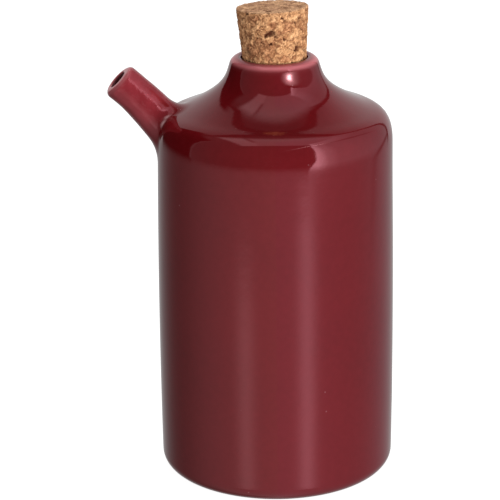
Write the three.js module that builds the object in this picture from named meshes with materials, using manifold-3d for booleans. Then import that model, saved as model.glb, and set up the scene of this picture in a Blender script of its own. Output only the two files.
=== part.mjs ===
// A slip-cast oil bottle of glazed stoneware, with a short pouring spout and a tapered cork stopper.
// Millimetres, +Z up. The origin is the centre of the flat base, and the spout points along -X.
import * as THREE from "three";
import { mergeVertices } from "three/addons/utils/BufferGeometryUtils.js";
import Module from "manifold-3d";

const wasm = await Module();
wasm.setup();

const degrees = THREE.MathUtils.degToRad;
const point = (radius, height) => new THREE.Vector2(radius, height);

// Driving dimensions of the stoneware body
const FOOT_RADIUS = 42.6;
const FOOT_CORNER = 5.2;
const BELLY_RADIUS = 43.3; // where the wall's control point stands, so the wall swells by about 0.5
const SHOULDER_RADIUS = 42;
const SHOULDER_HEIGHT = 123.5;
const WALL = 4;
const FLOOR = 4.5;
const FLOOR_CORNER = 6;

// The shoulder rolls over to a slope, and the slope sweeps up into the neck. Leans are from upright.
const SLOPE_RADIUS = 32.5;
const SLOPE_HEIGHT = 136.2;
const SLOPE_LEAN = degrees(65.5);
const SHOULDER_PULL = 11.1;
const SLOPE_PULL = 4.8;
const NECK_RADIUS = 15.95;
const NECK_HEIGHT = 151.9;
const NECK_LEAN = degrees(17.8);
const SWEEP_PULL = 16.5;
const NECK_PULL = 4.7;
const LIP_ROUND = 3.5;
const MOUTH_RADIUS = 11.8;
const MOUTH_ROUND = 0.8;

// The spout: its axis is a gentle curve in the XZ plane, from inside the shoulder to the pouring end
const SPOUT_ROOT = new THREE.Vector3(-33.5, 0, 122.6);
const SPOUT_BEND = new THREE.Vector3(-47.1, 0, 139.7);
const SPOUT_TIP = new THREE.Vector3(-56.3, 0, 146.4);
const SPOUT_TIP_RADIUS = 6.7;
const SPOUT_ROOT_RADIUS = 8.2;
const SPOUT_WIDENING = 0.75; // the share of the axis that widens, from the root
const SPOUT_LIP_ROUND = 2.8;
const FILLET_ABOVE = 6.5; // where the spout leaves the shoulder
const FILLET_BELOW = 1.6;
const FILLET_EDGE = 0.3; // the fillet ends this high above the wall, and from there runs straight in
const BORE_RADIUS = 3.2;
const BORE_ROUND = 0.5;
const BORE_OVERRUN = 3; // how far the bore's cutter runs on past the spout at each end

// The cork is a tapered plug that sits a little crooked in the mouth
const CORK_LENGTH = 27.7;
const CORK_TOP_RADIUS = 12.85;
const CORK_FOOT_RADIUS = 10.6;
const CORK_EDGE = 0.5;
const CORK_SUNK = 10; // how much of its length is inside the neck
const CORK_SHIFT = 0.05; // where its axis passes through the mouth, along X
const CORK_LEAN_LEFT = degrees(2.2);
const CORK_LEAN_BACK = degrees(2.5);

// Facets
const TURN_STEPS = 60;
const SPOUT_TURN_STEPS = 28;
const BORE_TURN_STEPS = 16;
const CORK_TURN_STEPS = 48;
const OUTSIDE_STEPS = { foot: 4, wall: 3, shoulder: 9, sweep: 9, lip: 5 };
const INSIDE_STEPS = { corner: 3, wall: 2, shoulder: 6, sweep: 6 };
const MOUTH_STEPS = 2;
const SPOUT_RINGS = 18;
const SPOUT_LIP_STEPS = 5;
const BORE_RINGS = 8;
const BORE_EDGE_STEPS = 3;
const HALF_A_STEP = 0.5; // turns the spout and its bore so that no edge lies in the body's own edges
const MERGE_DISTANCE = 1e-4;

// The outside of the body is a chain of plane curves, each with its number of steps
function leaning(lean) {
  return point(-Math.sin(lean), Math.cos(lean));
}

function bodyCurves() {
  const foot = new THREE.EllipseCurve(
    FOOT_RADIUS - FOOT_CORNER,
    FOOT_CORNER,
    FOOT_CORNER,
    FOOT_CORNER,
    -Math.PI / 2,
    0,
  );
  const shoulderStart = point(SHOULDER_RADIUS, SHOULDER_HEIGHT);
  const belly = point(BELLY_RADIUS, (FOOT_CORNER + SHOULDER_HEIGHT) / 2);
  const wall = new THREE.QuadraticBezierCurve(
    point(FOOT_RADIUS, FOOT_CORNER),
    belly,
    shoulderStart,
  );
  const wallEnd = wall.getTangent(1);
  const slope = point(SLOPE_RADIUS, SLOPE_HEIGHT);
  const shoulder = new THREE.CubicBezierCurve(
    shoulderStart,
    shoulderStart.clone().addScaledVector(wallEnd, SHOULDER_PULL),
    slope.clone().addScaledVector(leaning(SLOPE_LEAN), -SLOPE_PULL),
    slope,
  );
  const neckTop = point(NECK_RADIUS, NECK_HEIGHT);
  const sweep = new THREE.CubicBezierCurve(
    slope,
    slope.clone().addScaledVector(leaning(SLOPE_LEAN), SWEEP_PULL),
    neckTop.clone().addScaledVector(leaning(NECK_LEAN), -NECK_PULL),
    neckTop,
  );
  const lip = new THREE.EllipseCurve(
    NECK_RADIUS - LIP_ROUND * Math.cos(NECK_LEAN),
    NECK_HEIGHT - LIP_ROUND * Math.sin(NECK_LEAN),
    LIP_ROUND,
    LIP_ROUND,
    NECK_LEAN,
    Math.PI / 2,
  );
  return { foot, wall, shoulder, sweep, lip };
}

// Points along a curve, moved towards the inside of the wall by inset
function along(curve, steps, inset = 0, from = 0) {
  const points = [];
  for (let i = 0; i <= steps; i++) {
    const share = from + ((1 - from) * i) / steps;
    const tangent = curve.getTangent(share);
    const outward = point(tangent.y, -tangent.x);
    points.push(curve.getPoint(share).addScaledVector(outward, -inset));
  }
  return points;
}

const curves = bodyCurves();
const lipTop = curves.lip.getPoint(1);

function outsidePoints() {
  return [
    ...along(curves.foot, OUTSIDE_STEPS.foot),
    ...along(curves.wall, OUTSIDE_STEPS.wall).slice(1),
    ...along(curves.shoulder, OUTSIDE_STEPS.shoulder).slice(1),
    ...along(curves.sweep, OUTSIDE_STEPS.sweep).slice(1),
    ...along(curves.lip, OUTSIDE_STEPS.lip).slice(1),
  ];
}

function insidePoints(inset) {
  const corner = new THREE.EllipseCurve(
    FOOT_RADIUS - inset - FLOOR_CORNER,
    FLOOR + FLOOR_CORNER,
    FLOOR_CORNER,
    FLOOR_CORNER,
    -Math.PI / 2,
    0,
  );
  const wallStart =
    (FLOOR + FLOOR_CORNER - FOOT_CORNER) / (SHOULDER_HEIGHT - FOOT_CORNER);
  return [
    ...along(corner, INSIDE_STEPS.corner),
    ...along(curves.wall, INSIDE_STEPS.wall, inset, wallStart).slice(1),
    ...along(curves.shoulder, INSIDE_STEPS.shoulder, inset).slice(1),
    ...along(curves.sweep, INSIDE_STEPS.sweep, inset).slice(1),
  ];
}

// The mouth's inner edge, rounded from the bore up to the lip
function mouthPoints() {
  const edge = new THREE.EllipseCurve(
    MOUTH_RADIUS + MOUTH_ROUND,
    lipTop.y - MOUTH_ROUND,
    MOUTH_ROUND,
    MOUTH_ROUND,
    Math.PI,
    Math.PI / 2,
    true,
  );
  return along(edge, MOUTH_STEPS);
}

// A profile of radius and height turned about the Z axis, starting part of a step round
function turned(points, steps, startStep = 0) {
  const start = (startStep * 2 * Math.PI) / steps;
  const lathe = new THREE.LatheGeometry(points, steps, start);
  return lathe.rotateX(Math.PI / 2);
}

function solidOf(geometry) {
  const bare = geometry.clone();
  bare.deleteAttribute("normal");
  bare.deleteAttribute("uv");
  const merged = mergeVertices(bare, MERGE_DISTANCE);
  const mesh = new wasm.Mesh({
    numProp: 3,
    vertProperties: merged.attributes.position.array,
    triVerts: new Uint32Array(merged.index.array),
  });
  return new wasm.Manifold(mesh);
}

function geometryOf(solid) {
  const mesh = solid.getMesh();
  const geometry = new THREE.BufferGeometry();
  geometry.setAttribute(
    "position",
    new THREE.BufferAttribute(mesh.vertProperties, 3),
  );
  geometry.setIndex(new THREE.BufferAttribute(mesh.triVerts, 1));
  geometry.computeVertexNormals();
  return geometry;
}

// How far a place lies outside the body's turned surface, negative inside it
function distanceOutside(place, outline) {
  const here = point(Math.hypot(place.x, place.y), place.z);
  let nearest = Infinity;
  let side = 1;
  for (let i = 1; i < outline.length; i++) {
    const start = outline[i - 1];
    const run = outline[i].clone().sub(start);
    const offset = here.clone().sub(start);
    const share = THREE.MathUtils.clamp(offset.dot(run) / run.lengthSq(), 0, 1);
    const gap = offset.clone().addScaledVector(run, -share);
    if (gap.length() < nearest) {
      nearest = gap.length();
      side = Math.sign(run.y * offset.x - run.x * offset.y) || 1;
    }
  }
  return side * nearest;
}

// The extra radius that rounds a tube into the surface it grows from
function filletGrowth(distance, round) {
  const reach = THREE.MathUtils.clamp(distance, FILLET_EDGE, round);
  return round - Math.sqrt(round ** 2 - (round - reach) ** 2);
}

const spoutAxis = new THREE.QuadraticBezierCurve3(
  SPOUT_ROOT,
  SPOUT_BEND,
  SPOUT_TIP,
);
const spoutLength = spoutAxis.getLength();

// Bends a turned piece so that its own Z axis follows the spout's axis, widened by grow(place, radial)
function bentAlongSpout(geometry, grow) {
  const positions = geometry.attributes.position;
  const across = new THREE.Vector3(0, 1, 0);
  for (let i = 0; i < positions.count; i++) {
    const local = new THREE.Vector3().fromBufferAttribute(positions, i);
    const share = THREE.MathUtils.clamp(local.z / spoutLength, 0, 1);
    const ahead = spoutAxis.getTangentAt(share);
    const upward = new THREE.Vector3().crossVectors(across, ahead);
    const radial = new THREE.Vector3()
      .addScaledVector(upward, local.x)
      .addScaledVector(across, local.y);
    const place = spoutAxis
      .getPointAt(share)
      .addScaledVector(ahead, local.z - share * spoutLength)
      .add(radial);
    if (grow && radial.length() > 0) {
      radial.normalize();
      place.addScaledVector(radial, grow(place, radial));
    }
    positions.setXYZ(i, place.x, place.y, place.z);
  }
  return geometry;
}

function spoutRadius(height) {
  const share = THREE.MathUtils.clamp(1 - height / (SPOUT_WIDENING * spoutLength), 0, 1);
  return SPOUT_TIP_RADIUS + (SPOUT_ROOT_RADIUS - SPOUT_TIP_RADIUS) * share;
}

function spoutSolid(outline) {
  const barrelEnd = spoutLength - SPOUT_LIP_ROUND;
  const barrel = [];
  for (let i = 0; i <= SPOUT_RINGS; i++) {
    const height = (barrelEnd * i) / SPOUT_RINGS;
    barrel.push(point(spoutRadius(height), height));
  }
  const rim = new THREE.EllipseCurve(
    SPOUT_TIP_RADIUS - SPOUT_LIP_ROUND,
    barrelEnd,
    SPOUT_LIP_ROUND,
    SPOUT_LIP_ROUND,
    0,
    Math.PI / 2,
  );
  const profile = [
    point(0, 0),
    ...barrel,
    ...along(rim, SPOUT_LIP_STEPS).slice(1),
    point(0, spoutLength),
  ];
  const grow = (place, radial) => {
    const round = THREE.MathUtils.lerp(FILLET_BELOW, FILLET_ABOVE, (1 + radial.z) / 2);
    return filletGrowth(distanceOutside(place, outline), round);
  };
  return solidOf(bentAlongSpout(turned(profile, SPOUT_TURN_STEPS, HALF_A_STEP), grow));
}

function boreSolid() {
  const edgeStart = spoutLength - BORE_ROUND;
  const straight = [];
  for (let i = 0; i <= BORE_RINGS; i++) {
    const height = THREE.MathUtils.lerp(-BORE_OVERRUN, edgeStart, i / BORE_RINGS);
    straight.push(point(BORE_RADIUS, height));
  }
  const edge = new THREE.EllipseCurve(
    BORE_RADIUS + BORE_ROUND,
    edgeStart,
    BORE_ROUND,
    BORE_ROUND,
    Math.PI,
    Math.PI / 2,
    true,
  );
  const profile = [
    point(0, -BORE_OVERRUN),
    ...straight,
    ...along(edge, BORE_EDGE_STEPS).slice(1),
    point(BORE_RADIUS + BORE_ROUND, spoutLength + BORE_OVERRUN),
    point(0, spoutLength + BORE_OVERRUN),
  ];
  return solidOf(bentAlongSpout(turned(profile, BORE_TURN_STEPS, HALF_A_STEP)));
}

function bottle() {
  const outside = outsidePoints();
  const shell = solidOf(
    turned(
      [
        point(0, 0),
        ...outside,
        ...mouthPoints().reverse(),
        ...insidePoints(WALL).reverse(),
        point(0, FLOOR),
      ],
      TURN_STEPS,
    ),
  );
  // What is cut off the spout's root ends halfway through the wall, so the wall behind it stays whole
  const insideWall = insidePoints(WALL / 2);
  const core = solidOf(
    turned(
      [point(0, FLOOR), ...insideWall, point(0, insideWall.at(-1).y)],
      TURN_STEPS,
    ),
  );
  const spout = spoutSolid(outside).subtract(core);
  const solid = shell.add(spout).subtract(boreSolid());
  const glaze = new THREE.MeshStandardMaterial({
    color: 0x74262d,
    roughness: 0.12,
    metalness: 0,
  });
  const mesh = new THREE.Mesh(geometryOf(solid), glaze);
  mesh.name = "bottle";
  return mesh;
}

function cork() {
  const foot = -CORK_SUNK;
  const top = CORK_LENGTH - CORK_SUNK;
  const profile = [
    point(0, foot),
    point(CORK_FOOT_RADIUS - CORK_EDGE, foot),
    point(CORK_FOOT_RADIUS, foot + CORK_EDGE),
    point(CORK_TOP_RADIUS, top - CORK_EDGE),
    point(CORK_TOP_RADIUS - CORK_EDGE, top),
    point(0, top),
  ];
  const bark = new THREE.MeshStandardMaterial({
    color: 0xb98755,
    roughness: 0.9,
    metalness: 0,
  });
  const mesh = new THREE.Mesh(turned(profile, CORK_TURN_STEPS), bark);
  mesh.name = "cork";
  mesh.rotation.set(-CORK_LEAN_BACK, -CORK_LEAN_LEFT, 0);
  mesh.position.set(CORK_SHIFT, 0, lipTop.y);
  return mesh;
}

const oilBottle = new THREE.Group();
oilBottle.add(bottle());
oilBottle.add(cork());

export default oilBottle;
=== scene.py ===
import math

import bpy
import numpy as np
from mathutils import Matrix, Vector, kdtree, noise


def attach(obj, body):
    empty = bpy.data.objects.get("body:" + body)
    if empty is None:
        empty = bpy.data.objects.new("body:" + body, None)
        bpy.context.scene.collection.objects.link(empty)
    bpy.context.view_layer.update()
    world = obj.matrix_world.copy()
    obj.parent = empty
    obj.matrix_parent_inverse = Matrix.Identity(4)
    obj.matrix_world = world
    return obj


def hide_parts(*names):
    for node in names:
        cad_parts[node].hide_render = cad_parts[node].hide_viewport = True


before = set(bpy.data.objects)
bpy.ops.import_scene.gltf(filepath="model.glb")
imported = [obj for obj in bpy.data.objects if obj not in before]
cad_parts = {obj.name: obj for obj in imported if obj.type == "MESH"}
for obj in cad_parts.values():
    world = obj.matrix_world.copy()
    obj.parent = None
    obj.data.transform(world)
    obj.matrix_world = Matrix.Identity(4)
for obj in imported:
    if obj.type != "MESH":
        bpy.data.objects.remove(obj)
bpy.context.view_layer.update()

# Everything is worked out in millimetres and written to the meshes in metres
MM = 0.001

# The turned body, from the foot up
FOOT_RADIUS = 42.6
FOOT_CORNER = 5.2
BELLY_RADIUS = 43.3
SHOULDER_RADIUS = 42.0
SHOULDER_HEIGHT = 123.5
WALL = 4.0
FLOOR = 4.5
FLOOR_CORNER = 6.0
SLOPE = (32.5, 136.2)
SLOPE_LEAN = math.radians(65.5)
SHOULDER_PULL = 11.1
SLOPE_PULL = 4.8
NECK = (15.95, 151.9)
NECK_LEAN = math.radians(17.8)
SWEEP_PULL = 16.5
NECK_PULL = 4.7
LIP_ROUND = 3.5
MOUTH_RADIUS = 11.8
MOUTH_ROUND = 0.8

# The spout, whose axis bends in the XZ plane
SPOUT_ROOT = np.array([-33.5, 0.0, 122.6])
SPOUT_BEND = np.array([-47.1, 0.0, 139.7])
SPOUT_TIP = np.array([-56.3, 0.0, 146.4])
SPOUT_TIP_RADIUS = 6.7
SPOUT_ROOT_RADIUS = 8.2
SPOUT_WIDENING = 0.75
SPOUT_RIM_ROUND = 2.4
BORE_RADIUS = 3.2
BORE_ROUND = 1.0
BLEND_ABOVE = 7.5
BLEND_SIDE = 3.2
SEAM_TIGHTNESS = 0.6

# How far the hand-made body departs from the turned one, in millimetres
LEFT_DIP = 0.6
RIGHT_SWELL = 0.3
TIP_TURN = math.tan(math.radians(5))
TIP_LIFT = math.tan(math.radians(8))
TIP_SHORTER = 0.5
# Where the painted highlight at the spout's joint is centred
PAINTED_JOINT_HIGHLIGHT_AT = (-37.0, -8.0, 131.2)

# The cork
CORK_LENGTH = 27.7
CORK_SUNK = 10.0
CORK_TOP_RADIUS = 12.85
CORK_FOOT_RADIUS = 10.6
CORK_SHIFT = 0.05
CORK_LEAN_LEFT = math.radians(2.2)
CORK_LEAN_BACK = math.radians(2.5)


# Curves
def bezier(controls, steps=200):
    t = np.linspace(0, 1, steps + 1)[:, None]
    points = [np.tile(np.asarray(c, float), (steps + 1, 1)) for c in controls]
    while len(points) > 1:
        points = [a * (1 - t) + b * t for a, b in zip(points, points[1:])]
    return points[0]


def arc(centre, radius, start, end, steps=60):
    a = np.linspace(start, end, steps + 1)
    return np.stack([centre[0] + radius * np.cos(a), centre[1] + radius * np.sin(a)], 1)


def leaning(lean):
    return np.array([-math.sin(lean), math.cos(lean)])


def lengths_along(points):
    return np.r_[0, np.cumsum(np.linalg.norm(np.diff(points, axis=0), axis=1))]


def evenly(points, steps):
    along = lengths_along(points)
    wanted = np.linspace(0, along[-1], steps + 1)
    return np.stack([np.interp(wanted, along, points[:, k]) for k in range(points.shape[1])], 1)


def inset(points, depth):
    """A plane curve moved to its left, which is the inside of the wall for a curve that climbs."""
    tangent = np.gradient(points, axis=0)
    tangent /= np.linalg.norm(tangent, axis=1)[:, None]
    return points + depth * np.stack([-tangent[:, 1], tangent[:, 0]], 1)


# The body's profile, as curves of radius and height
foot_curve = arc((FOOT_RADIUS - FOOT_CORNER, FOOT_CORNER), FOOT_CORNER, -math.pi / 2, 0)
shoulder_start = np.array([SHOULDER_RADIUS, SHOULDER_HEIGHT])
belly = np.array([BELLY_RADIUS, (FOOT_CORNER + SHOULDER_HEIGHT) / 2])
wall_curve = bezier([(FOOT_RADIUS, FOOT_CORNER), belly, shoulder_start])
wall_end = (shoulder_start - belly) / np.linalg.norm(shoulder_start - belly)
slope = np.array(SLOPE)
neck = np.array(NECK)
shoulder_curve = bezier([
    shoulder_start,
    shoulder_start + SHOULDER_PULL * wall_end,
    slope - SLOPE_PULL * leaning(SLOPE_LEAN),
    slope,
])
sweep_curve = bezier([
    slope,
    slope + SWEEP_PULL * leaning(SLOPE_LEAN),
    neck - NECK_PULL * leaning(NECK_LEAN),
    neck,
])
lip_centre = neck - LIP_ROUND * np.array([math.cos(NECK_LEAN), math.sin(NECK_LEAN)])
lip_curve = arc(lip_centre, LIP_ROUND, NECK_LEAN, math.pi / 2)
lip_height = lip_curve[-1, 1]
mouth_curve = arc((MOUTH_RADIUS + MOUTH_ROUND, lip_height - MOUTH_ROUND), MOUTH_ROUND, math.pi / 2, math.pi)

# Rows of the mesh. The window rows are those that the spout grows from
WINDOW_WALL_ROWS, WINDOW_SHOULDER_ROWS, WINDOW_SWEEP_ROWS = 8, 12, 5
WINDOW_ROWS = WINDOW_WALL_ROWS + WINDOW_SHOULDER_ROWS + WINDOW_SWEEP_ROWS
WINDOW_FOOT = 112.0
WINDOW_TOP_RADIUS = 26.0
COLUMNS = 192
WINDOW_HALF_COLUMNS = 11
LOOP = 2 * (WINDOW_ROWS + 2 * WINDOW_HALF_COLUMNS)


def window_rows(depth):
    """Points from the wall below the spout, over the shoulder, to the slope above it."""
    wall = wall_curve[wall_curve[:, 1] >= WINDOW_FOOT]
    slope_part = sweep_curve[sweep_curve[:, 0] >= WINDOW_TOP_RADIUS]
    parts = [
        evenly(inset(wall, depth), WINDOW_WALL_ROWS),
        evenly(inset(shoulder_curve, depth), WINDOW_SHOULDER_ROWS)[1:],
        evenly(inset(slope_part, depth), WINDOW_SWEEP_ROWS)[1:],
    ]
    return np.vstack(parts)


def wall_rows(depth, lowest, steps):
    part = wall_curve[(wall_curve[:, 1] >= lowest) & (wall_curve[:, 1] <= WINDOW_FOOT)]
    return evenly(inset(part, depth), steps)


def neck_rows(depth, steps):
    part = sweep_curve[sweep_curve[:, 0] <= WINDOW_TOP_RADIUS]
    return evenly(inset(part, depth), steps)


def profile_rows():
    """The closed profile, from under the base, over the lip and back down to the floor, and the two windows."""
    under = np.array([(12.0, 0.0), (24.0, 0.0), (32.0, 0.0), (35.0, 0.0), (36.4, 0.0)])
    outside = [under, evenly(foot_curve, 12), wall_rows(0, FOOT_CORNER, 44)[1:]]
    outside_start = sum(len(part) for part in outside) - 1
    outside += [window_rows(0)[1:], neck_rows(0, 16)[1:], evenly(lip_curve, 12)[1:], evenly(mouth_curve, 5)]
    floor_z = FLOOR + FLOOR_CORNER
    floor_curve = arc((FOOT_RADIUS - WALL - FLOOR_CORNER, floor_z), FLOOR_CORNER, -math.pi / 2, 0)
    inside = [
        np.array([(10.0, FLOOR), (22.0, FLOOR)]),
        evenly(floor_curve, 6),
        wall_rows(WALL, floor_z, 24)[1:],
    ]
    inside_start = sum(len(part) for part in inside) - 1
    inside += [window_rows(WALL)[1:], neck_rows(WALL, 12)[1:]]
    outer_rows = np.vstack(outside)
    inner_rows = np.vstack(inside)
    rows = np.vstack([outer_rows, inner_rows[::-1]])
    outer_window = [outside_start + i for i in range(WINDOW_ROWS + 1)]
    last = len(rows) - 1
    inner_window = [last - inside_start - i for i in range(WINDOW_ROWS + 1)]
    return rows, outer_window, inner_window


# Distances to the surfaces, for rounding the spout into the shoulder
def distance_to_profile(points, profile):
    """Signed distance in the plane of radius and height, positive on the right of a curve that climbs."""
    here = np.stack([np.hypot(points[:, 0], points[:, 1]), points[:, 2]], 1)
    nearest = np.full(len(points), np.inf)
    signed = np.zeros(len(points))
    for start, end in zip(profile, profile[1:]):
        run = end - start
        offset = here - start
        share = np.clip(offset @ run / (run @ run), 0, 1)
        gap = np.linalg.norm(offset - share[:, None] * run, axis=1)
        side = np.where(run[1] * offset[:, 0] - run[0] * offset[:, 1] < 0, -1.0, 1.0)
        closer = gap < nearest
        nearest = np.where(closer, gap, nearest)
        signed = np.where(closer, side * gap, signed)
    return signed


spout_axis = bezier([SPOUT_ROOT, SPOUT_BEND, SPOUT_TIP], 80)
spout_lengths = lengths_along(spout_axis)
spout_length = spout_lengths[-1]
ACROSS = np.array([0.0, 1.0, 0.0])


def spout_frame(along):
    """The axis point, the direction ahead and the direction towards the spout's upper side."""
    inside = np.clip(along, 0, spout_length)
    place = np.array([np.interp(inside, spout_lengths, spout_axis[:, k]) for k in range(3)])
    tangents = np.gradient(spout_axis, axis=0)
    ahead = np.array([np.interp(inside, spout_lengths, tangents[:, k]) for k in range(3)])
    ahead /= np.linalg.norm(ahead)
    upper = np.array([ahead[2], 0.0, -ahead[0]])
    return place + (along - inside) * ahead, ahead, upper


def spout_radius(along):
    share = np.clip(1 - along / (SPOUT_WIDENING * spout_length), 0, 1)
    return SPOUT_TIP_RADIUS + (SPOUT_ROOT_RADIUS - SPOUT_TIP_RADIUS) * share


def distance_to_spout(points):
    """Signed distance to the bent tube, and how far each point lies above it and beside it, from 0 to 1."""
    nearest = np.full(len(points), np.inf)
    along = np.zeros(len(points))
    outward = np.zeros((len(points), 3))
    coarse = spout_axis[::4]
    coarse_lengths = spout_lengths[::4]
    for k, (start, end) in enumerate(zip(coarse, coarse[1:])):
        run = end - start
        offset = points - start
        share = np.clip(offset @ run / (run @ run), -np.inf if k == 0 else 0, 1)
        gap = offset - share[:, None] * run
        size = np.linalg.norm(gap, axis=1)
        closer = size < nearest
        nearest = np.where(closer, size, nearest)
        along = np.where(closer, coarse_lengths[k] + share * np.linalg.norm(run), along)
        outward[closer] = gap[closer]
    size = np.maximum(nearest, 1e-9)
    upper = np.clip(outward[:, 2] / size, 0, 1)
    beside = np.abs(outward[:, 1]) / size
    return nearest - spout_radius(along), upper, beside


body_profile = np.vstack([
    wall_curve[wall_curve[:, 1] > 80][::10],
    shoulder_curve[1::5],
    sweep_curve[1::8],
])


def distance_to_clay(points):
    """The body and the spout as one form, rounded together where they meet."""
    body = distance_to_profile(points, body_profile)
    spout, upper, beside = distance_to_spout(points)
    reach = BLEND_SIDE * (1 - SEAM_TIGHTNESS * beside ** 4) + (BLEND_ABOVE - BLEND_SIDE) * upper ** 2
    overlap = np.maximum(reach - np.abs(body - spout), 0) / reach
    return np.minimum(body, spout) - overlap ** 2 * reach / 4


def settle(points, distance, rounds=4, probe=0.02):
    """Moves points onto the surface where distance is zero."""
    for _ in range(rounds):
        gradient = np.stack([
            distance(points + probe * axis) - distance(points - probe * axis) for axis in np.eye(3)
        ], 1) / (2 * probe)
        size = np.maximum((gradient ** 2).sum(1), 0.05)
        points = points - (distance(points) / size)[:, None] * gradient
    return points


# Meshes
def add_object(name, vertices, faces, smooth=True):
    mesh = bpy.data.meshes.new(name)
    mesh.from_pydata((np.asarray(vertices) * MM).tolist(), [], faces)
    mesh.validate()
    mesh.update()
    if smooth:
        mesh.polygons.foreach_set("use_smooth", [True] * len(mesh.polygons))
    piece = bpy.data.objects.new(name, mesh)
    bpy.context.scene.collection.objects.link(piece)
    return piece


def window_loop(window, first_column):
    """The window's edge as (row, column), anticlockwise seen from outside, from its lower left corner."""
    last_column = first_column + 2 * WINDOW_HALF_COLUMNS
    loop = [(window[0], c) for c in range(first_column, last_column)]
    loop += [(window[r], last_column) for r in range(WINDOW_ROWS)]
    loop += [(window[-1], c) for c in range(last_column, first_column, -1)]
    loop += [(window[r], first_column) for r in range(WINDOW_ROWS, 0, -1)]
    return loop


def loop_turn(k):
    """The turn about the spout's axis that belongs to a place on the loop, 0 at the spout's upper side."""
    return math.pi + (k - WINDOW_HALF_COLUMNS) * 2 * math.pi / LOOP


def spout_ring(along, radius):
    place, _, upper = spout_frame(along)
    return np.array([
        place + radius * (math.cos(loop_turn(k)) * upper + math.sin(loop_turn(k)) * ACROSS)
        for k in range(LOOP)
    ])


def meeting_ring(radius_at, distance, start):
    """Where the lines along a tube, followed inwards from start, first reach a surface."""
    found = np.zeros((LOOP, 3))
    open_lines = np.ones(LOOP, bool)
    along = start
    while open_lines.any() and along > -12:
        ring = spout_ring(along, radius_at(along))
        reached = open_lines & (distance(ring) <= 0)
        found[reached] = ring[reached]
        open_lines &= ~reached
        along -= 0.1
    return found


def relaxed(rings, distance, rounds):
    """Evens out the rings between the first and the last, staying on the surface."""
    for _ in range(rounds):
        inner = (rings[:-2, :] + rings[2:, :]) / 2
        sides = (np.roll(rings, 1, axis=1) + np.roll(rings, -1, axis=1))[1:-1] / 2
        moved = 0.5 * rings[1:-1] + 0.3 * inner + 0.2 * sides
        rings[1:-1] = settle(moved.reshape(-1, 3), distance, 1).reshape(moved.shape)
    return rings


def rings_between(first, corner, last, steps, distance):
    """Rings from one loop to another by way of a corner loop, laid on the surface."""
    rings = [first]
    lengths = np.stack([
        np.zeros(LOOP),
        np.linalg.norm(corner - first, axis=1),
        np.linalg.norm(corner - first, axis=1) + np.linalg.norm(last - corner, axis=1),
    ])
    for t in range(1, steps):
        wanted = lengths[2] * t / steps
        on_first = wanted <= lengths[1]
        share_first = (wanted / np.maximum(lengths[1], 1e-9))[:, None]
        share_last = ((wanted - lengths[1]) / np.maximum(lengths[2] - lengths[1], 1e-9))[:, None]
        ring = np.where(
            on_first[:, None],
            first + (corner - first) * share_first,
            corner + (last - corner) * share_last,
        )
        rings.append(settle(ring, distance))
    rings.append(last)
    return np.array(rings)


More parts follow.
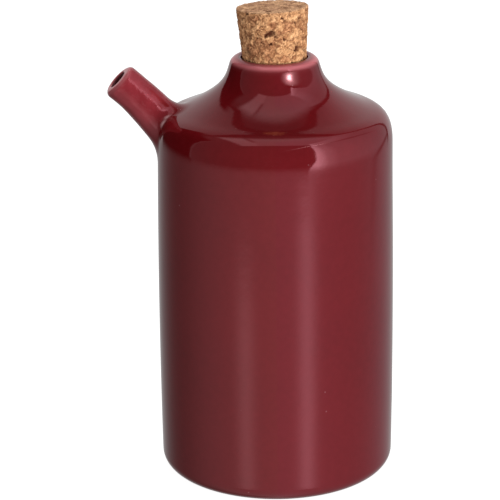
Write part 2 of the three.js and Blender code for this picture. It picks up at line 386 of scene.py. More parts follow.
def build_bottle():
    rows, outer_window, inner_window = profile_rows()
    angles = 2 * math.pi * np.arange(COLUMNS) / COLUMNS
    grid = np.stack([
        rows[:, 0, None] * np.cos(angles),
        rows[:, 0, None] * np.sin(angles),
        np.repeat(rows[:, 1, None], COLUMNS, axis=1),
    ], 2)
    vertices = [grid.reshape(-1, 3)]
    first_column = COLUMNS // 2 - WINDOW_HALF_COLUMNS
    hidden_columns = range(first_column, first_column + 2 * WINDOW_HALF_COLUMNS)
    spans = []
    for window in (outer_window, inner_window):
        spans.append((min(window), max(window)))
    faces = []
    for i in range(len(rows) - 1):
        in_window = any(low <= i < high for low, high in spans)
        for j in range(COLUMNS):
            if in_window and j in hidden_columns:
                continue
            k = (j + 1) % COLUMNS
            faces.append((i * COLUMNS + j, i * COLUMNS + k, (i + 1) * COLUMNS + k, (i + 1) * COLUMNS + j))
    # The two ends of the profile close on the axis
    count = len(rows) * COLUMNS
    vertices.append(np.array([[0, 0, rows[0, 1]], [0, 0, rows[-1, 1]]]))
    for j in range(COLUMNS):
        k = (j + 1) % COLUMNS
        faces.append((count, k, j))
        faces.append((count + 1, (len(rows) - 1) * COLUMNS + j, (len(rows) - 1) * COLUMNS + k))
    count += 2

    # The spout: from the outer window, out along the tube, over the rim and back down the bore
    outer_loop = window_loop(outer_window, first_column)
    inner_loop = window_loop(inner_window, first_column)
    outer_edge = np.array([grid[r, c] for r, c in outer_loop])
    inner_edge = np.array([grid[r, c] for r, c in inner_loop])
    inner_profile = inset(body_profile, WALL)

    def to_body(points):
        return distance_to_profile(points, body_profile)

    def to_cavity(points):
        return distance_to_profile(points, inner_profile)

    tube_start = spout_length - 13.5
    start_ring = spout_ring(tube_start, spout_radius(tube_start))
    corner = meeting_ring(spout_radius, to_body, tube_start)
    root = rings_between(outer_edge, corner, start_ring, 16, distance_to_clay)
    root = relaxed(root, distance_to_clay, 12)
    rings = list(root[1:])
    rim_start = spout_length - SPOUT_RIM_ROUND
    for along in np.linspace(tube_start, rim_start, 12)[1:]:
        rings.append(spout_ring(along, spout_radius(along)))
    for turn in np.linspace(0, math.pi / 2, 10)[1:]:
        radius = SPOUT_TIP_RADIUS - SPOUT_RIM_ROUND * (1 - math.cos(turn))
        rings.append(spout_ring(rim_start + SPOUT_RIM_ROUND * math.sin(turn), radius))
    for turn in np.linspace(0, math.pi / 2, 6):
        radius = BORE_RADIUS + BORE_ROUND * (1 - math.sin(turn))
        rings.append(spout_ring(spout_length - BORE_ROUND * (1 - math.cos(turn)), radius))
    bore_end = meeting_ring(lambda along: BORE_RADIUS, to_cavity, spout_length - 5)
    bore_start = rings[-1]
    for share in np.linspace(0, 1, 14)[1:]:
        rings.append(bore_start + (bore_end - bore_start) * share)
    shell = rings_between(bore_end, bore_end, inner_edge, 8, to_cavity)
    rings += list(shell[1:-1])
    vertices.append(np.array(rings).reshape(-1, 3))

    numbers = [[r * COLUMNS + c for r, c in outer_loop]]
    for n in range(len(rings)):
        numbers.append([count + n * LOOP + k for k in range(LOOP)])
    numbers.append([r * COLUMNS + c for r, c in inner_loop])
    for ring, following in zip(numbers, numbers[1:]):
        for k in range(LOOP):
            m = (k + 1) % LOOP
            faces.append((ring[k], ring[m], following[m], following[k]))
    return np.vstack(vertices), faces


def hump(points, centre, reach):
    """A soft hump of height 1 round a centre, with its own reach along each axis."""
    return np.exp(-(((points - np.array(centre)) / np.array(reach)) ** 2).sum(1))


def hand_made(points):
    """The slight unevenness of a thrown and cast body."""
    moved = points.copy()
    moved[:, 2] -= LEFT_DIP * hump(points, (-29, 22, 138), (9, 20, 12))
    moved[:, 0] += RIGHT_SWELL * hump(points, (36, 10, 130), (14, 30, 14))
    # The spout's end faces a little to the front and upwards
    place, ahead, upper = spout_frame(spout_length)
    short_of_tip = (place - points) @ ahead
    near_tip = (points[:, 0] < -45) * (1 - np.clip(short_of_tip / 6, 0, 1)) ** 2
    longer = TIP_TURN * points[:, 1] - TIP_LIFT * ((points - place) @ upper) - TIP_SHORTER
    moved += (near_tip * longer)[:, None] * ahead
    return moved


bottle_points, bottle_faces = build_bottle()
used = sorted({v for face in bottle_faces for v in face})
renumbered = {v: n for n, v in enumerate(used)}
bottle_faces = [tuple(renumbered[v] for v in face) for face in bottle_faces]
bottle_points = hand_made(bottle_points[used])
bottle = add_object("stoneware_body", bottle_points, bottle_faces)


def add_numbers(piece, name, values):
    piece.data.attributes.new(name, "FLOAT", "POINT").data.foreach_set("value", np.asarray(values, np.float32))


# Paler thin glaze on the lip and the spout's rim; the lip's band sits just below the top as a painted highlight line
lip_edge = np.exp(-(((bottle_points[:, 2] - lip_height + 0.9) / 0.85) ** 2))
from_axis = np.hypot(bottle_points[:, 0], bottle_points[:, 1])
lip_edge *= (from_axis < NECK[0] + 1) & (from_axis > MOUTH_RADIUS + 1)
tip_place, tip_ahead, tip_upper = spout_frame(spout_length)
past_tip = (bottle_points - tip_place) @ tip_ahead + TIP_SHORTER
past_tip += TIP_LIFT * ((bottle_points - tip_place) @ tip_upper) - TIP_TURN * bottle_points[:, 1]
spout_edge = np.exp(-((past_tip / 0.9) ** 2)) * (bottle_points[:, 0] < -48)
from_body = distance_to_profile(bottle_points, body_profile)
from_tube, _, _ = distance_to_spout(bottle_points)
outside_bore = np.clip((from_tube + 2.0) / 0.8, 0, 1)
# The spout's glaze is paler and pinker: partly thinner glaze, partly painted light for the light the spout catches
on_spout = 0.56 * np.clip(from_body / 6, 0, 1) * outside_bore * (bottle_points[:, 2] > 100)
# A painted highlight: a pale pink arc painted where the spout's root meets the shoulder, on the front only
joint_highlight_reach = np.clip(2.2 * hump(bottle_points, PAINTED_JOINT_HIGHLIGHT_AT, (3.0, 6, 3.2)) - 0.5, 0, 1)
painted_joint_highlight = joint_highlight_reach * np.exp(-(((from_body - from_tube) / 0.45) ** 2)) * (bottle_points[:, 1] < 0)
add_numbers(bottle, "thin_glaze_and_highlight", np.maximum(lip_edge, spout_edge))
add_numbers(bottle, "painted_joint_highlight", painted_joint_highlight)
# Painted shade: the inside of the spout's bore is painted near black and made rougher
add_numbers(bottle, "painted_dark_bore", np.clip((-3.0 - from_tube) / 0.4, 0, 1))
add_numbers(bottle, "spout_glaze_and_painted_light", on_spout)

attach(bottle, "root")
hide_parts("bottle")


# The cork is pressed together from granules, so its surface follows a pattern of cells in space
GRANULE = 2.9
CORK_COLUMNS = 300
CORK_ROW = 0.27


def cork_grid():
    """Rows of points over the cork's outside in its own frame, with the way out of the cork at each."""
    foot = -CORK_SUNK
    top = CORK_LENGTH - CORK_SUNK
    slant = (CORK_TOP_RADIUS - CORK_FOOT_RADIUS) / CORK_LENGTH
    edge = 0.5
    outline = np.vstack([
        evenly(np.array([(0.8, foot), (CORK_FOOT_RADIUS - edge, foot)]), 14),
        arc((CORK_FOOT_RADIUS - edge, foot + edge), edge, -math.pi / 2, 0, 4)[1:],
        evenly(
            np.array([(CORK_FOOT_RADIUS + slant * edge, foot + edge), (CORK_TOP_RADIUS, top - edge)]),
            round(CORK_LENGTH / CORK_ROW),
        )[1:],
        arc((CORK_TOP_RADIUS - edge, top - edge), edge, 0, math.pi / 2, 4)[1:],
        evenly(np.array([(CORK_TOP_RADIUS - edge, top), (0.4, top)]), round(CORK_TOP_RADIUS / CORK_ROW))[1:],
    ])
    tangent = np.gradient(outline, axis=0)
    tangent /= np.linalg.norm(tangent, axis=1)[:, None]
    angles = 2 * math.pi * np.arange(CORK_COLUMNS) / CORK_COLUMNS
    turn = np.stack([np.cos(angles), np.sin(angles)], 1)
    points = np.concatenate([
        outline[:, None, :1] * turn[None], np.broadcast_to(outline[:, None, 1:], (len(outline), CORK_COLUMNS, 1)),
    ], 2)
    ways_out = np.concatenate([
        tangent[:, None, 1:] * turn[None],
        np.broadcast_to(-tangent[:, None, :1], (len(outline), CORK_COLUMNS, 1)),
    ], 2)
    return points.reshape(-1, 3), ways_out.reshape(-1, 3), len(outline)


def cork_cells(points, size, seed, stretch):
    """For each point: its cell's number, and how far it lies inside the cell's border, in millimetres."""
    draw = np.random.default_rng(seed)
    reach = CORK_TOP_RADIUS + 2
    steps = [np.arange(-reach, reach, size), np.arange(-reach, reach, size), np.arange(-14, 22, size)]
    seeds = np.stack(np.meshgrid(*steps, indexing="ij"), -1).reshape(-1, 3)
    seeds = seeds + draw.uniform(-0.5, 0.5, seeds.shape) * size
    far = np.abs(np.hypot(seeds[:, 0], seeds[:, 1]) - CORK_TOP_RADIUS) > 3 * size
    seeds = seeds[~(far & (seeds[:, 2] < CORK_LENGTH - CORK_SUNK - 3 * size))]
    tree = kdtree.KDTree(len(seeds))
    for n, place in enumerate(seeds * stretch):
        tree.insert(place, n)
    tree.balance()
    cell = np.zeros(len(points), int)
    inside = np.zeros(len(points))
    for n, place in enumerate(points * stretch):
        (_, first, near), (_, _, next_near) = tree.find_n(place, 2)
        cell[n] = first
        inside[n] = (next_near - near) / 2
    return cell, inside, draw.uniform(0, 1, len(seeds))


def build_cork():
    points, ways_out, rows = cork_grid()
    warp = np.array([noise.noise_vector(Vector(p * 0.55)) for p in points])
    shake = np.array([noise.noise_vector(Vector(p * 1.7 + 9)) for p in points])
    bent = points + 1.1 * warp + 0.45 * shake
    granule, granule_in, granule_draw = cork_cells(bent, GRANULE, 5, np.array([1.0, 1.0, 1.7]))
    flake, flake_in, flake_draw = cork_cells(bent, GRANULE * 0.42, 8, np.array([1.0, 1.0, 1.9]))
    tone = granule_draw[granule]
    flake_tone = flake_draw[flake]
    seam = np.exp(-(granule_in / 0.2) ** 2) * np.clip(0.55 + 1.6 * warp[:, 0], 0.1, 1)
    crack = np.exp(-(flake_in / 0.13) ** 2) * np.clip(0.35 + 2.0 * shake[:, 1], 0, 1)
    # Pits are sunk into the relief; their near-black colour in the material is painted shade
    small_pit = np.where(flake_tone > 0.965, np.clip(flake_in / 0.22, 0, 1), 0)
    large_pit = np.where(tone > 0.94, np.clip(granule_in / 0.4 - 0.4, 0, 1), 0)
    pit = np.maximum(small_pit, large_pit)
    curl = np.array([noise.noise(Vector(p * 1.15 + 31)) for p in bent])
    wisp = np.array([noise.noise(Vector(p * (1.5, 1.5, 2.6)) + Vector((7, 3, 5))) for p in bent])
    fold = np.maximum(np.exp(-(curl / 0.045) ** 2), 0.8 * np.exp(-(wisp / 0.04) ** 2))
    height = 0.18 * (tone - 0.5) + 0.14 * (flake_tone - 0.5) - 0.3 * seam - 0.25 * crack - 0.2 * fold
    height = np.where(pit > 0, -0.2 - 0.9 * pit, height) + 0.05 * warp[:, 1]
    # Painted shade: the low places of the cork's relief are painted darker
    painted_cavity_shade = np.clip(-3.2 * height - 0.12, 0, 1)
    moved = points + height[:, None] * ways_out
    faces = []
    for i in range(rows - 1):
        for j in range(CORK_COLUMNS):
            k = (j + 1) % CORK_COLUMNS
            faces.append((i * CORK_COLUMNS + j, i * CORK_COLUMNS + k, (i + 1) * CORK_COLUMNS + k,
                          (i + 1) * CORK_COLUMNS + j))
    count = len(moved)
    ends = np.array([[0, 0, moved[0, 2]], [0, 0, moved[-1, 2]]])
    for j in range(CORK_COLUMNS):
        k = (j + 1) % CORK_COLUMNS
        faces.append((count, k, j))
        faces.append((count + 1, (rows - 1) * CORK_COLUMNS + j, (rows - 1) * CORK_COLUMNS + k))
    # How much each point faces up, for the painted shade on the cork's top face
    top = np.clip(ways_out[:, 2], 0, 1)
    numbers = {
        "granule": tone, "flake": flake_tone, "seam": np.maximum(seam, 0.8 * crack), "pit": pit, "top": top,
        "curl": np.clip(0.5 + curl, 0, 1), "painted_cavity_shade": painted_cavity_shade,
    }
    numbers = {name: np.r_[values, values[0], values[-1]] for name, values in numbers.items()}
    leaning_cork = np.array(
        Matrix.Rotation(-CORK_LEAN_BACK, 3, "X") @ Matrix.Rotation(-CORK_LEAN_LEFT, 3, "Y")
    )
    placed = np.vstack([moved, ends]) @ leaning_cork.T + np.array([CORK_SHIFT, 0, lip_height])
    return placed, faces, numbers


cork_points, cork_faces, cork_numbers = build_cork()
cork = add_object("cork_stopper", cork_points, cork_faces)
for name, values in cork_numbers.items():
    add_numbers(cork, name, values)
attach(cork, "root")
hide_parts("cork")


# Materials
def new_material(name):
    material = bpy.data.materials.new(name)
    material.use_nodes = True
    tree = material.node_tree
    tree.nodes.clear()
    shader = tree.nodes.new("ShaderNodeBsdfPrincipled")
    output = tree.nodes.new("ShaderNodeOutputMaterial")
    tree.links.new(shader.outputs[0], output.inputs[0])
    return material, tree, shader


def node(tree, kind, values=(), **settings):
    """A node with its settings, and with values or links for its inputs by name or number."""
    made = tree.nodes.new("ShaderNode" + kind)
    for key, value in settings.items():
        setattr(made, key, value)
    for key, value in dict(values).items():
        feed(tree, made.inputs[key], value)
    return made


def feed(tree, socket, value):
    if isinstance(value, bpy.types.NodeSocket):
        tree.links.new(value, socket)
    else:
        socket.default_value = value


def places(tree):
    return node(tree, "TexCoord").outputs["Object"]


def noise_at(tree, scale, detail=3.0, rough=0.5):
    return node(tree, "TexNoise", {
        "Vector": places(tree), "Scale": scale, "Detail": detail, "Roughness": rough,
    }).outputs["Fac"]


def stretched(tree, value, low, high, to_low=0.0, to_high=1.0):
    return node(tree, "MapRange", {
        "Value": value, "From Min": low, "From Max": high, "To Min": to_low, "To Max": to_high,
    }).outputs["Result"]


# Where a Mix node keeps its colour sockets
MIX_SHARE, MIX_FIRST, MIX_SECOND, MIX_RESULT = 0, 6, 7, 2


def blended(tree, share, first, second, way="MIX"):
    values = {MIX_SHARE: share, MIX_FIRST: first, MIX_SECOND: second}
    return node(tree, "Mix", values, data_type="RGBA", blend_type=way).outputs[MIX_RESULT]


def number(tree, name):
    return node(tree, "Attribute", attribute_name=name).outputs["Fac"]


def maths(tree, operation, first, second):
    return node(tree, "Math", {0: first, 1: second}, operation=operation).outputs[0]


def bumped(tree, height, strength, distance, below=None):
    values = {"Height": height, "Strength": strength, "Distance": distance}
    if below is not None:
        values["Normal"] = below
    return node(tree, "Bump", values).outputs["Normal"]


def rgb(red, green, blue):
    return (red, green, blue, 1.0)

def glaze_material():
    material, tree, shader = new_material("red_glaze")
    clouds = stretched(tree, noise_at(tree, 28, 4), 0.3, 0.7)
    mottle = stretched(tree, noise_at(tree, 420, 3), 0.35, 0.75)
    colour = blended(tree, clouds, rgb(0.1, 0.0022, 0.0036), rgb(0.116, 0.0027, 0.0044))
    colour = blended(tree, maths(tree, "MULTIPLY", mottle, 0.4), colour, rgb(0.136, 0.0044, 0.0072))
    spout_paleness = number(tree, "spout_glaze_and_painted_light")
    streaks = stretched(tree, noise_at(tree, 190, 4), 0.3, 0.7, 0.5, 1.0)
    # Paler glaze on the spout, partly painted light
    colour = blended(tree, maths(tree, "MULTIPLY", spout_paleness, streaks), colour, rgb(0.32, 0.034, 0.046))
    # Thin glaze on the rims, partly a painted highlight along the lip
    colour = blended(tree, number(tree, "thin_glaze_and_highlight"), colour, rgb(0.5, 0.13, 0.145))
    # Painted highlight along the joint below the spout's root
    colour = blended(tree, number(tree, "painted_joint_highlight"), colour, rgb(0.95, 0.62, 0.64))
    # Painted shade inside the bore
    colour = blended(tree, number(tree, "painted_dark_bore"), colour, rgb(0.03, 0.0008, 0.001))
    specks = node(tree, "TexVoronoi", {"Vector": places(tree), "Scale": 130.0})
    dot = stretched(tree, specks.outputs["Distance"], 0.045, 0.02)
    picked = stretched(tree, specks.outputs["Color"], 0.62, 0.64)
    dot = maths(tree, "MULTIPLY", maths(tree, "MULTIPLY", dot, picked), 0.3)
    colour = blended(tree, dot, colour, rgb(0.42, 0.2, 0.22))
    tree.links.new(colour, shader.inputs["Base Color"])
    rough = stretched(tree, noise_at(tree, 90, 3), 0.3, 0.7, 0.045, 0.075)
    rough = maths(tree, "ADD", rough, maths(tree, "MULTIPLY", spout_paleness, 0.24))
    rough = maths(tree, "ADD", rough, maths(tree, "MULTIPLY", number(tree, "painted_dark_bore"), 0.45))
    tree.links.new(rough, shader.inputs["Roughness"])
    shader.inputs["Specular IOR Level"].default_value = 1.0
    shader.inputs["Specular Tint"].default_value = rgb(1.0, 0.46, 0.5)
    waves = bumped(tree, noise_at(tree, 60, 2), 0.5, 0.00015)
    lumps = bumped(tree, maths(tree, "MULTIPLY", noise_at(tree, 250, 2), spout_paleness), 0.8, 0.0005, waves)
    peel = bumped(tree, noise_at(tree, 700, 2), 0.4, 0.000025, lumps)
    tree.links.new(peel, shader.inputs["Normal"])
    return material


def clay_material():
    material, tree, shader = new_material("bare_clay")
    grain = stretched(tree, noise_at(tree, 900, 4), 0.3, 0.7)
    colour = blended(tree, grain, rgb(0.46, 0.36, 0.27), rgb(0.6, 0.5, 0.4))
    tree.links.new(colour, shader.inputs["Base Color"])
    shader.inputs["Roughness"].default_value = 0.85
    rough = bumped(tree, noise_at(tree, 1500, 3), 0.5, 0.0001)
    tree.links.new(rough, shader.inputs["Normal"])
    return material


def cork_material():
    material, tree, shader = new_material("pressed_cork")
    tones = node(tree, "ValToRGB", {"Fac": number(tree, "granule")})
    stops = tones.color_ramp.elements
    stops[0].color = rgb(0.54, 0.265, 0.138)
    stops[1].color = rgb(0.84, 0.51, 0.275)
    middle = stops.new(0.4)
    middle.color = rgb(0.70, 0.39, 0.20)
    flakes = node(tree, "ValToRGB", {"Fac": number(tree, "flake")})
    flakes.color_ramp.elements[0].color = rgb(0.76, 0.68, 0.62)
    flakes.color_ramp.elements[1].color = rgb(1.14, 1.14, 1.14)
    colour = blended(tree, 1.0, tones.outputs["Color"], flakes.outputs["Color"], "MULTIPLY")
    grain = stretched(tree, noise_at(tree, 1400, 4, 0.7), 0.3, 0.7, 0.78, 1.15)
    colour = blended(tree, 1.0, colour, grain, "MULTIPLY")
    streak = node(tree, "ValToRGB", {"Fac": number(tree, "curl")})
    streak.color_ramp.elements[0].position = 0.36
    streak.color_ramp.elements[0].color = rgb(1.15, 1.12, 1.08)
    streak.color_ramp.elements[1].position = 0.66
    streak.color_ramp.elements[1].color = rgb(0.86, 0.78, 0.72)
    line = streak.color_ramp.elements.new(0.5)
    line.color = rgb(0.55, 0.42, 0.36)
    for beside in (0.475, 0.525):
        edge = streak.color_ramp.elements.new(beside)
        edge.color = rgb(1.05, 1.0, 0.95)
    colour = blended(tree, 1.0, colour, streak.outputs["Color"], "MULTIPLY")
    # Painted shade: the top face is mixed towards a duller, darker tan
    top = maths(tree, "MULTIPLY", number(tree, "top"), 0.45)
    colour = blended(tree, top, colour, rgb(0.56, 0.37, 0.25))
    colour = blended(tree, maths(tree, "MULTIPLY", number(tree, "seam"), 0.75), colour, rgb(0.17, 0.07, 0.03))
    # Painted shade in the cork's hollows
    colour = blended(tree, maths(tree, "MULTIPLY", number(tree, "painted_cavity_shade"), 0.52), colour, rgb(0.13, 0.045, 0.022))
    # Painted shade: the pits are painted near black
    colour = blended(tree, number(tree, "pit"), colour, rgb(0.08, 0.024, 0.012))
    tree.links.new(colour, shader.inputs["Base Color"])
    shader.inputs["Roughness"].default_value = 0.85
    shader.inputs["Specular IOR Level"].default_value = 0.25
    fine = bumped(tree, noise_at(tree, 1800, 4, 0.7), 0.6, 0.00012)
    tree.links.new(fine, shader.inputs["Normal"])
    return material


bottle.data.materials.append(glaze_material())
bottle.data.materials.append(clay_material())
UNDERSIDE = 0.25 * MM
for face in bottle.data.polygons:
    if face.center.z < UNDERSIDE and face.normal.z < -0.9:
        face.material_index = 1
cork.data.materials.append(cork_material())


# Stage
def glowing(name):
    material = bpy.data.materials.new(name)
    material.use_nodes = True
    tree = material.node_tree
    tree.nodes.clear()
    emission = tree.nodes.new("ShaderNodeEmission")
    output = tree.nodes.new("ShaderNodeOutputMaterial")
    tree.links.new(emission.outputs[0], output.inputs[0])
    material.cycles.emission_sampling = "NONE"
    return material, tree, emission, output


def seen_only_by(piece, rays):
    for ray in ("camera", "diffuse", "glossy", "transmission", "volume_scatter", "shadow"):
        setattr(piece, "visible_" + ray, ray in rays)


def dome(name, radius, columns, rows):
    """A sphere round the bottle, and the azimuth from +Y towards +X and the elevation of its points, in degrees."""
    azimuth, elevation = np.meshgrid(
        np.linspace(-180, 180, columns, endpoint=False), np.linspace(-90, 90, rows + 1)
    )
    a = np.radians(azimuth.ravel())
    e = np.radians(elevation.ravel())
    points = radius * np.stack([np.cos(e) * np.sin(a), np.cos(e) * np.cos(a), np.sin(e)], 1)
    points[:, 2] += BOTTLE_MIDDLE
    faces = [
        (i * columns + j, i * columns + (j + 1) % columns, (i + 1) * columns + (j + 1) % columns, (i + 1) * columns + j)
        for i in range(rows) for j in range(columns)
    ]
    mesh = bpy.data.meshes.new(name)
    mesh.from_pydata(points.tolist(), [], faces)
    piece = bpy.data.objects.new(name, mesh)
    bpy.context.scene.collection.objects.link(piece)
    return piece, azimuth.ravel(), elevation.ravel()


BOTTLE_MIDDLE = 0.08
ROOM_RADIUS = 6.0


def soft_step(value, edge, softness):
    t = np.clip((value - edge) / softness + 0.5, 0, 1)
    return t * t * (3 - 2 * t)


def panel(glow, azimuth, elevation, sides, heights, brightness, soft=(4, 4)):
    """Lays a lit or dark panel over what is there, with soft edges."""
    middle = (sides[0] + sides[1]) / 2
    half = (sides[1] - sides[0]) / 2
    away = np.abs((azimuth - middle + 180) % 360 - 180)
    across = 1 - soft_step(away, half, soft[0])
    up = soft_step(elevation, heights[0], soft[1]) * (1 - soft_step(elevation, heights[1], soft[1]))
    share = across * up
    return glow * (1 - share) + brightness * share


def lobe(azimuth, middle, width):
    away = (azimuth - middle + 180) % 360 - 180
    return np.exp(-((away / width) ** 2))


def ramp(value, *stops):
    """Straight pieces between stops of (value, result)."""
    return np.interp(value, [at for at, _ in stops], [result for _, result in stops])


def laid(glow, share, brightness):
    return glow * (1 - share) + brightness * share


def studio_glow(azimuth, elevation):
    """What the glaze mirrors: lamps, screens and flags above, and the pale table below."""
    glow = np.full(azimuth.shape, 0.2)
    place = (azimuth, elevation)
    glow = panel(glow, *place, (-60, 60), (40, 70), 0.11, (16, 4))
    # Overhead screen, brighter to the left of the dark strut across it
    turn = np.radians(azimuth)
    level = np.cos(np.radians(elevation))
    across = level * np.sin(turn)
    ahead = level * np.cos(turn)
    overhead = soft_step(across, -0.42, 0.08) * (1 - soft_step(across, 0.55, 0.3))
    overhead = overhead * soft_step(ahead, -0.385, 0.05) * (1 - soft_step(ahead, 0.3, 0.2))
    overhead = overhead * soft_step(elevation, 45, 4)
    glow = laid(glow, overhead, ramp(across, (-0.21, 1.0), (-0.19, 0.8)))
    strut = np.exp(-(((across + 0.2) / 0.02) ** 2)) * soft_step(ahead, -0.05, 0.1) * overhead
    glow = laid(glow, 0.8 * strut, 0.2)
    # Side screen on the right, brightest at the lamp behind it, which ends sharply on the camera's side
    side = ramp(azimuth, (30, 0.38), (60, 0.46), (90, 0.72), (116, 0.95), (128, 1.6), (139, 3.9))
    side = side * ramp(elevation, (44, 1.0), (58, 1.5))
    far_edge = ramp(elevation, (-12, 148), (0, 141), (20, 139.5), (45, 136.5), (60, 127))
    near_edge = 40 + 0.35 * np.maximum(elevation - 20, 0)
    share = soft_step(azimuth, near_edge, 2) * (1 - soft_step(azimuth, far_edge, 2))
    share = share * (1 - soft_step(elevation, 61, 4))
    glow = laid(glow, share, side)
    # Backdrop paper behind the bottle, wider towards its top, with the dark gap round it
    aside = np.abs(azimuth + 1) - 0.3 * np.maximum(elevation - 20, 0)
    past = np.hypot(np.maximum(aside - 30, 0), 0.6 * np.maximum(elevation - 44, 0))
    glow = laid(glow, 1 - soft_step(past, 10.5, 1), 0.05)
    paper = ramp(elevation, (0, 0.64), (28, 0.56), (40, 0.42), (52, 0.3))
    glow = laid(glow, 1 - soft_step(past, 7, 1), paper)
    # Black flag on the left, and the pale line along its far edge
    glow = panel(glow, *place, (-92, -39), (-14, 50), 0.012, (3, 8))
    glow = panel(glow, *place, (-92.5, -90), (-8, 50), 0.32, (1.5, 4))
    # Pale table, with the dark line where the side screen meets it
    table = 0.6 - 0.43 * lobe(azimuth, -66, 42) - 0.2 * lobe(azimuth, 70, 60) + 0.16 * lobe(azimuth, 160, 35)
    glow = laid(glow, 1 - soft_step(elevation, -11, 9), table)
    fold = -5 - (azimuth - 38) * 0.32
    crease = np.exp(-(((elevation - fold) / 2) ** 2)) * soft_step(azimuth, 36, 4) * (1 - soft_step(azimuth, 68, 26))
    glow = laid(glow, 0.75 * crease, 0.05)
    near_left = lobe(azimuth, -150, 9) * (1 - soft_step(elevation, -18, 5)) * soft_step(elevation, -30, 4)
    near_right = lobe(azimuth, 150, 9) * (1 - soft_step(elevation, -14.8, 5)) * soft_step(elevation, -30, 4)
    return glow + 0.55 * near_left + 0.95 * near_right


def add_reflections():
    piece, azimuth, elevation = dome("mirrored_studio", ROOM_RADIUS, 480, 240)
    glow = studio_glow(azimuth, elevation)
    right = soft_step(azimuth, 40, 60)[:, None]
    tint = (1 - right) * np.array([1.0, 1.0, 1.0]) + right * np.array([1.0, 0.93, 1.02])
    show_glow(piece, glow[:, None] * tint)


# A small clear card in front of the neck that glows, in millimetres
STAR_PLACE = Vector((33, -55, 164))
STAR_EDGE_ON_FROM = Vector((12, -36, 130))
STAR_SIDES = (-42.0, 96.0)
STAR_HEIGHTS = (-22.0, 84.0)
NECK_FRONT = (5.0, -15.0)
STAR_STEPS = 60
# Brightness, half width, half height and height on the card of the star's core and of its halo
STAR_GLOWS = ((42.0, 6.2, 6.0, 0.0), (4.2, 17.0, 24.0, 8.0))


def add_star():
    """The star on the neck. Its clear card adds light, and the shoulder sees only the card's edge."""
    upright = (STAR_PLACE - STAR_EDGE_ON_FROM).normalized()
    sideways = Vector((0, 0, 1)).cross(upright).normalized()
    steps = np.linspace(-1, 1, STAR_STEPS + 1)
    u, v = (values.ravel() for values in np.meshgrid(steps, steps))
    fade = np.clip(4 - 4 * np.abs(u), 0, 1) * np.clip(4 - 4 * np.abs(v), 0, 1)
    u = np.interp(u, (-1, 1), STAR_SIDES)
    v = np.interp(v, (-1, 1), STAR_HEIGHTS)
    points = np.array(STAR_PLACE) + u[:, None] * np.array(sideways) + v[:, None] * np.array(upright)
    glow = np.zeros(len(u))
    for brightness, width, height, lift in STAR_GLOWS:
        glow += brightness * fade * np.exp(-((u / width) ** 2) - ((v - lift) / height) ** 2)
    row = STAR_STEPS + 1
    faces = [
        (i * row + j, i * row + j + 1, (i + 1) * row + j + 1, (i + 1) * row + j)
        for i in range(STAR_STEPS) for j in range(STAR_STEPS)
    ]
    piece = add_object("star_lamp", points, faces)
    tree, emission, output = show_glow(piece, glow[:, None] * np.ones(3))
    # For the neck alone the card dims the side screen behind it
    azimuth = np.degrees(np.arctan2(points[:, 0] - NECK_FRONT[0], points[:, 1] - NECK_FRONT[1]))
    dimmed = 1 - 0.42 * (1 - lobe(azimuth, 137, 24))
    add_numbers(piece, "clear", 1 - fade * dimmed * (1 - soft_step(azimuth, 149, 12)))
    clear = node(tree, "BsdfTransparent", {"Color": number(tree, "clear")})
    both = node(tree, "AddShader", {0: clear.outputs[0], 1: emission.outputs[0]})
    tree.links.new(both.outputs[0], output.inputs[0])


def show_glow(piece, colours):
    """Makes a piece of the stage glow with a colour for each of its points, for gloss alone."""
    colours = np.concatenate([colours, np.ones((len(colours), 1))], 1)
    layer = piece.data.attributes.new("glow", "FLOAT_COLOR", "POINT")
    layer.data.foreach_set("color", colours.astype(np.float32).ravel())
    material, tree, emission, output = glowing(piece.name + "_glow")
    read = node(tree, "Attribute", attribute_name="glow")
    tree.links.new(read.outputs["Color"], emission.inputs["Color"])
    piece.data.materials.append(material)
    seen_only_by(piece, {"glossy"})
    return tree, emission, output


def add_backdrop():
    piece, _, _ = dome("pale_backdrop", ROOM_RADIUS * 1.2, 48, 24)
    material, _, emission, _ = glowing("backdrop_glow")
    emission.inputs["Color"].default_value = rgb(1.0, 1.0, 1.0)
    emission.inputs["Strength"].default_value = 1.0
    piece.data.materials.append(material)
    seen_only_by(piece, {"camera"})


def add_floor():
    rim = 96
    radius = 5.0
    angles = 2 * math.pi * np.arange(rim) / rim
    points = np.stack([radius * np.cos(angles), radius * np.sin(angles), np.full(rim, -0.0002)], 1)
    mesh = bpy.data.meshes.new("pale_floor")
    mesh.from_pydata(points.tolist(), [], [tuple(range(rim))])
    piece = bpy.data.objects.new("pale_floor", mesh)
    bpy.context.scene.collection.objects.link(piece)
    material, tree, shader = new_material("matt_white")
    shader.inputs["Base Color"].default_value = rgb(0.2, 0.2, 0.2)
    shader.inputs["Roughness"].default_value = 1.0
    shader.inputs["Specular IOR Level"].default_value = 0.0
    shader.inputs["Emission Color"].default_value = rgb(1.0, 1.0, 1.0)
    shader.inputs["Emission Strength"].default_value = 0.96
    material.cycles.emission_sampling = "NONE"
    piece.data.materials.append(material)
    seen_only_by(piece, {"camera"})


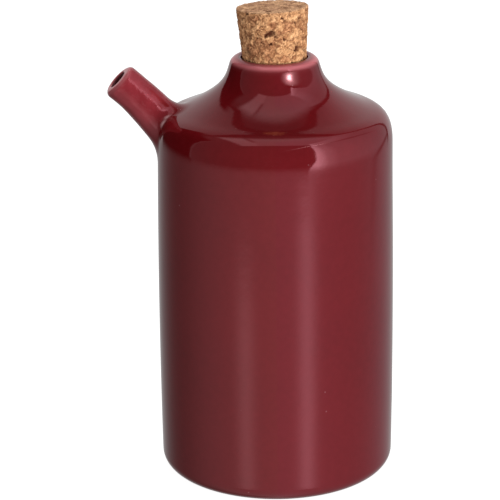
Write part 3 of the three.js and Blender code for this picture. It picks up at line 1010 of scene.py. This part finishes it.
def add_lamp(name, turn, height, distance, size, strength, colour=(1.0, 1.0, 1.0)):
    """A soft square lamp at a turn from the camera's side towards the right; strength 1 shows a facing colour as is."""
    a = math.radians(turn)
    e = math.radians(height)
    away = Vector((math.sin(a) * math.cos(e), -math.cos(a) * math.cos(e), math.sin(e)))
    data = bpy.data.lights.new(name, "AREA")
    data.shape = "SQUARE"
    data.size = size
    data.energy = strength * (math.pi * distance) ** 2
    data.color = colour
    lamp = bpy.data.objects.new(name, data)
    lamp.location = Vector((0, 0, BOTTLE_MIDDLE)) + distance * away
    lamp.rotation_euler = away.to_track_quat("Z", "Y").to_euler()
    lamp.visible_glossy = False
    lamp.visible_camera = False
    bpy.context.scene.collection.objects.link(lamp)


add_reflections()
add_star()
add_backdrop()
add_floor()
add_lamp("key", 48, 10, 1.6, 0.7, 0.84)
add_lamp("front_fill", -6, 8, 1.6, 0.7, 0.5)
add_lamp("top_back", 180, 50, 1.6, 0.7, 0.85)

world = bpy.data.worlds.new("soft_room")
world.use_nodes = True
world.node_tree.nodes["Background"].inputs["Color"].default_value = rgb(1.0, 1.0, 1.0)
world.node_tree.nodes["Background"].inputs["Strength"].default_value = 0.22
bpy.context.scene.world = world
bpy.context.scene.view_settings.view_transform = "Standard"

# Camera
EYE = Vector((0.0, -802.1, 356.3)) * MM
AIM = Vector((0.0, 0.0, 75.0)) * MM
LENS = 167.64
SENSOR = 36.0
FRAME_PIXELS = 500
AIM_PIXEL = (275.66, 267.23)
CAMERA_ROLL = -0.007

camera_data = bpy.data.cameras.new("camera")
camera_data.lens = LENS
camera_data.sensor_width = SENSOR
camera = bpy.data.objects.new("camera", camera_data)
bpy.context.scene.collection.objects.link(camera)
bpy.context.scene.camera = camera
focal_pixels = LENS / SENSOR * FRAME_PIXELS
turn_left = math.atan((AIM_PIXEL[0] - FRAME_PIXELS / 2) / focal_pixels)
turn_up = math.atan((AIM_PIXEL[1] - FRAME_PIXELS / 2) / focal_pixels)
aimed = (AIM - EYE).to_track_quat("-Z", "Y").to_matrix()
turned = Matrix.Rotation(turn_left, 3, "Y") @ Matrix.Rotation(turn_up, 3, "X") @ Matrix.Rotation(CAMERA_ROLL, 3, "Z")
camera.location = EYE
camera.rotation_mode = "QUATERNION"
camera.rotation_quaternion = (aimed @ turned).to_quaternion()
camera_data.clip_start = 0.05
camera_data.clip_end = 50
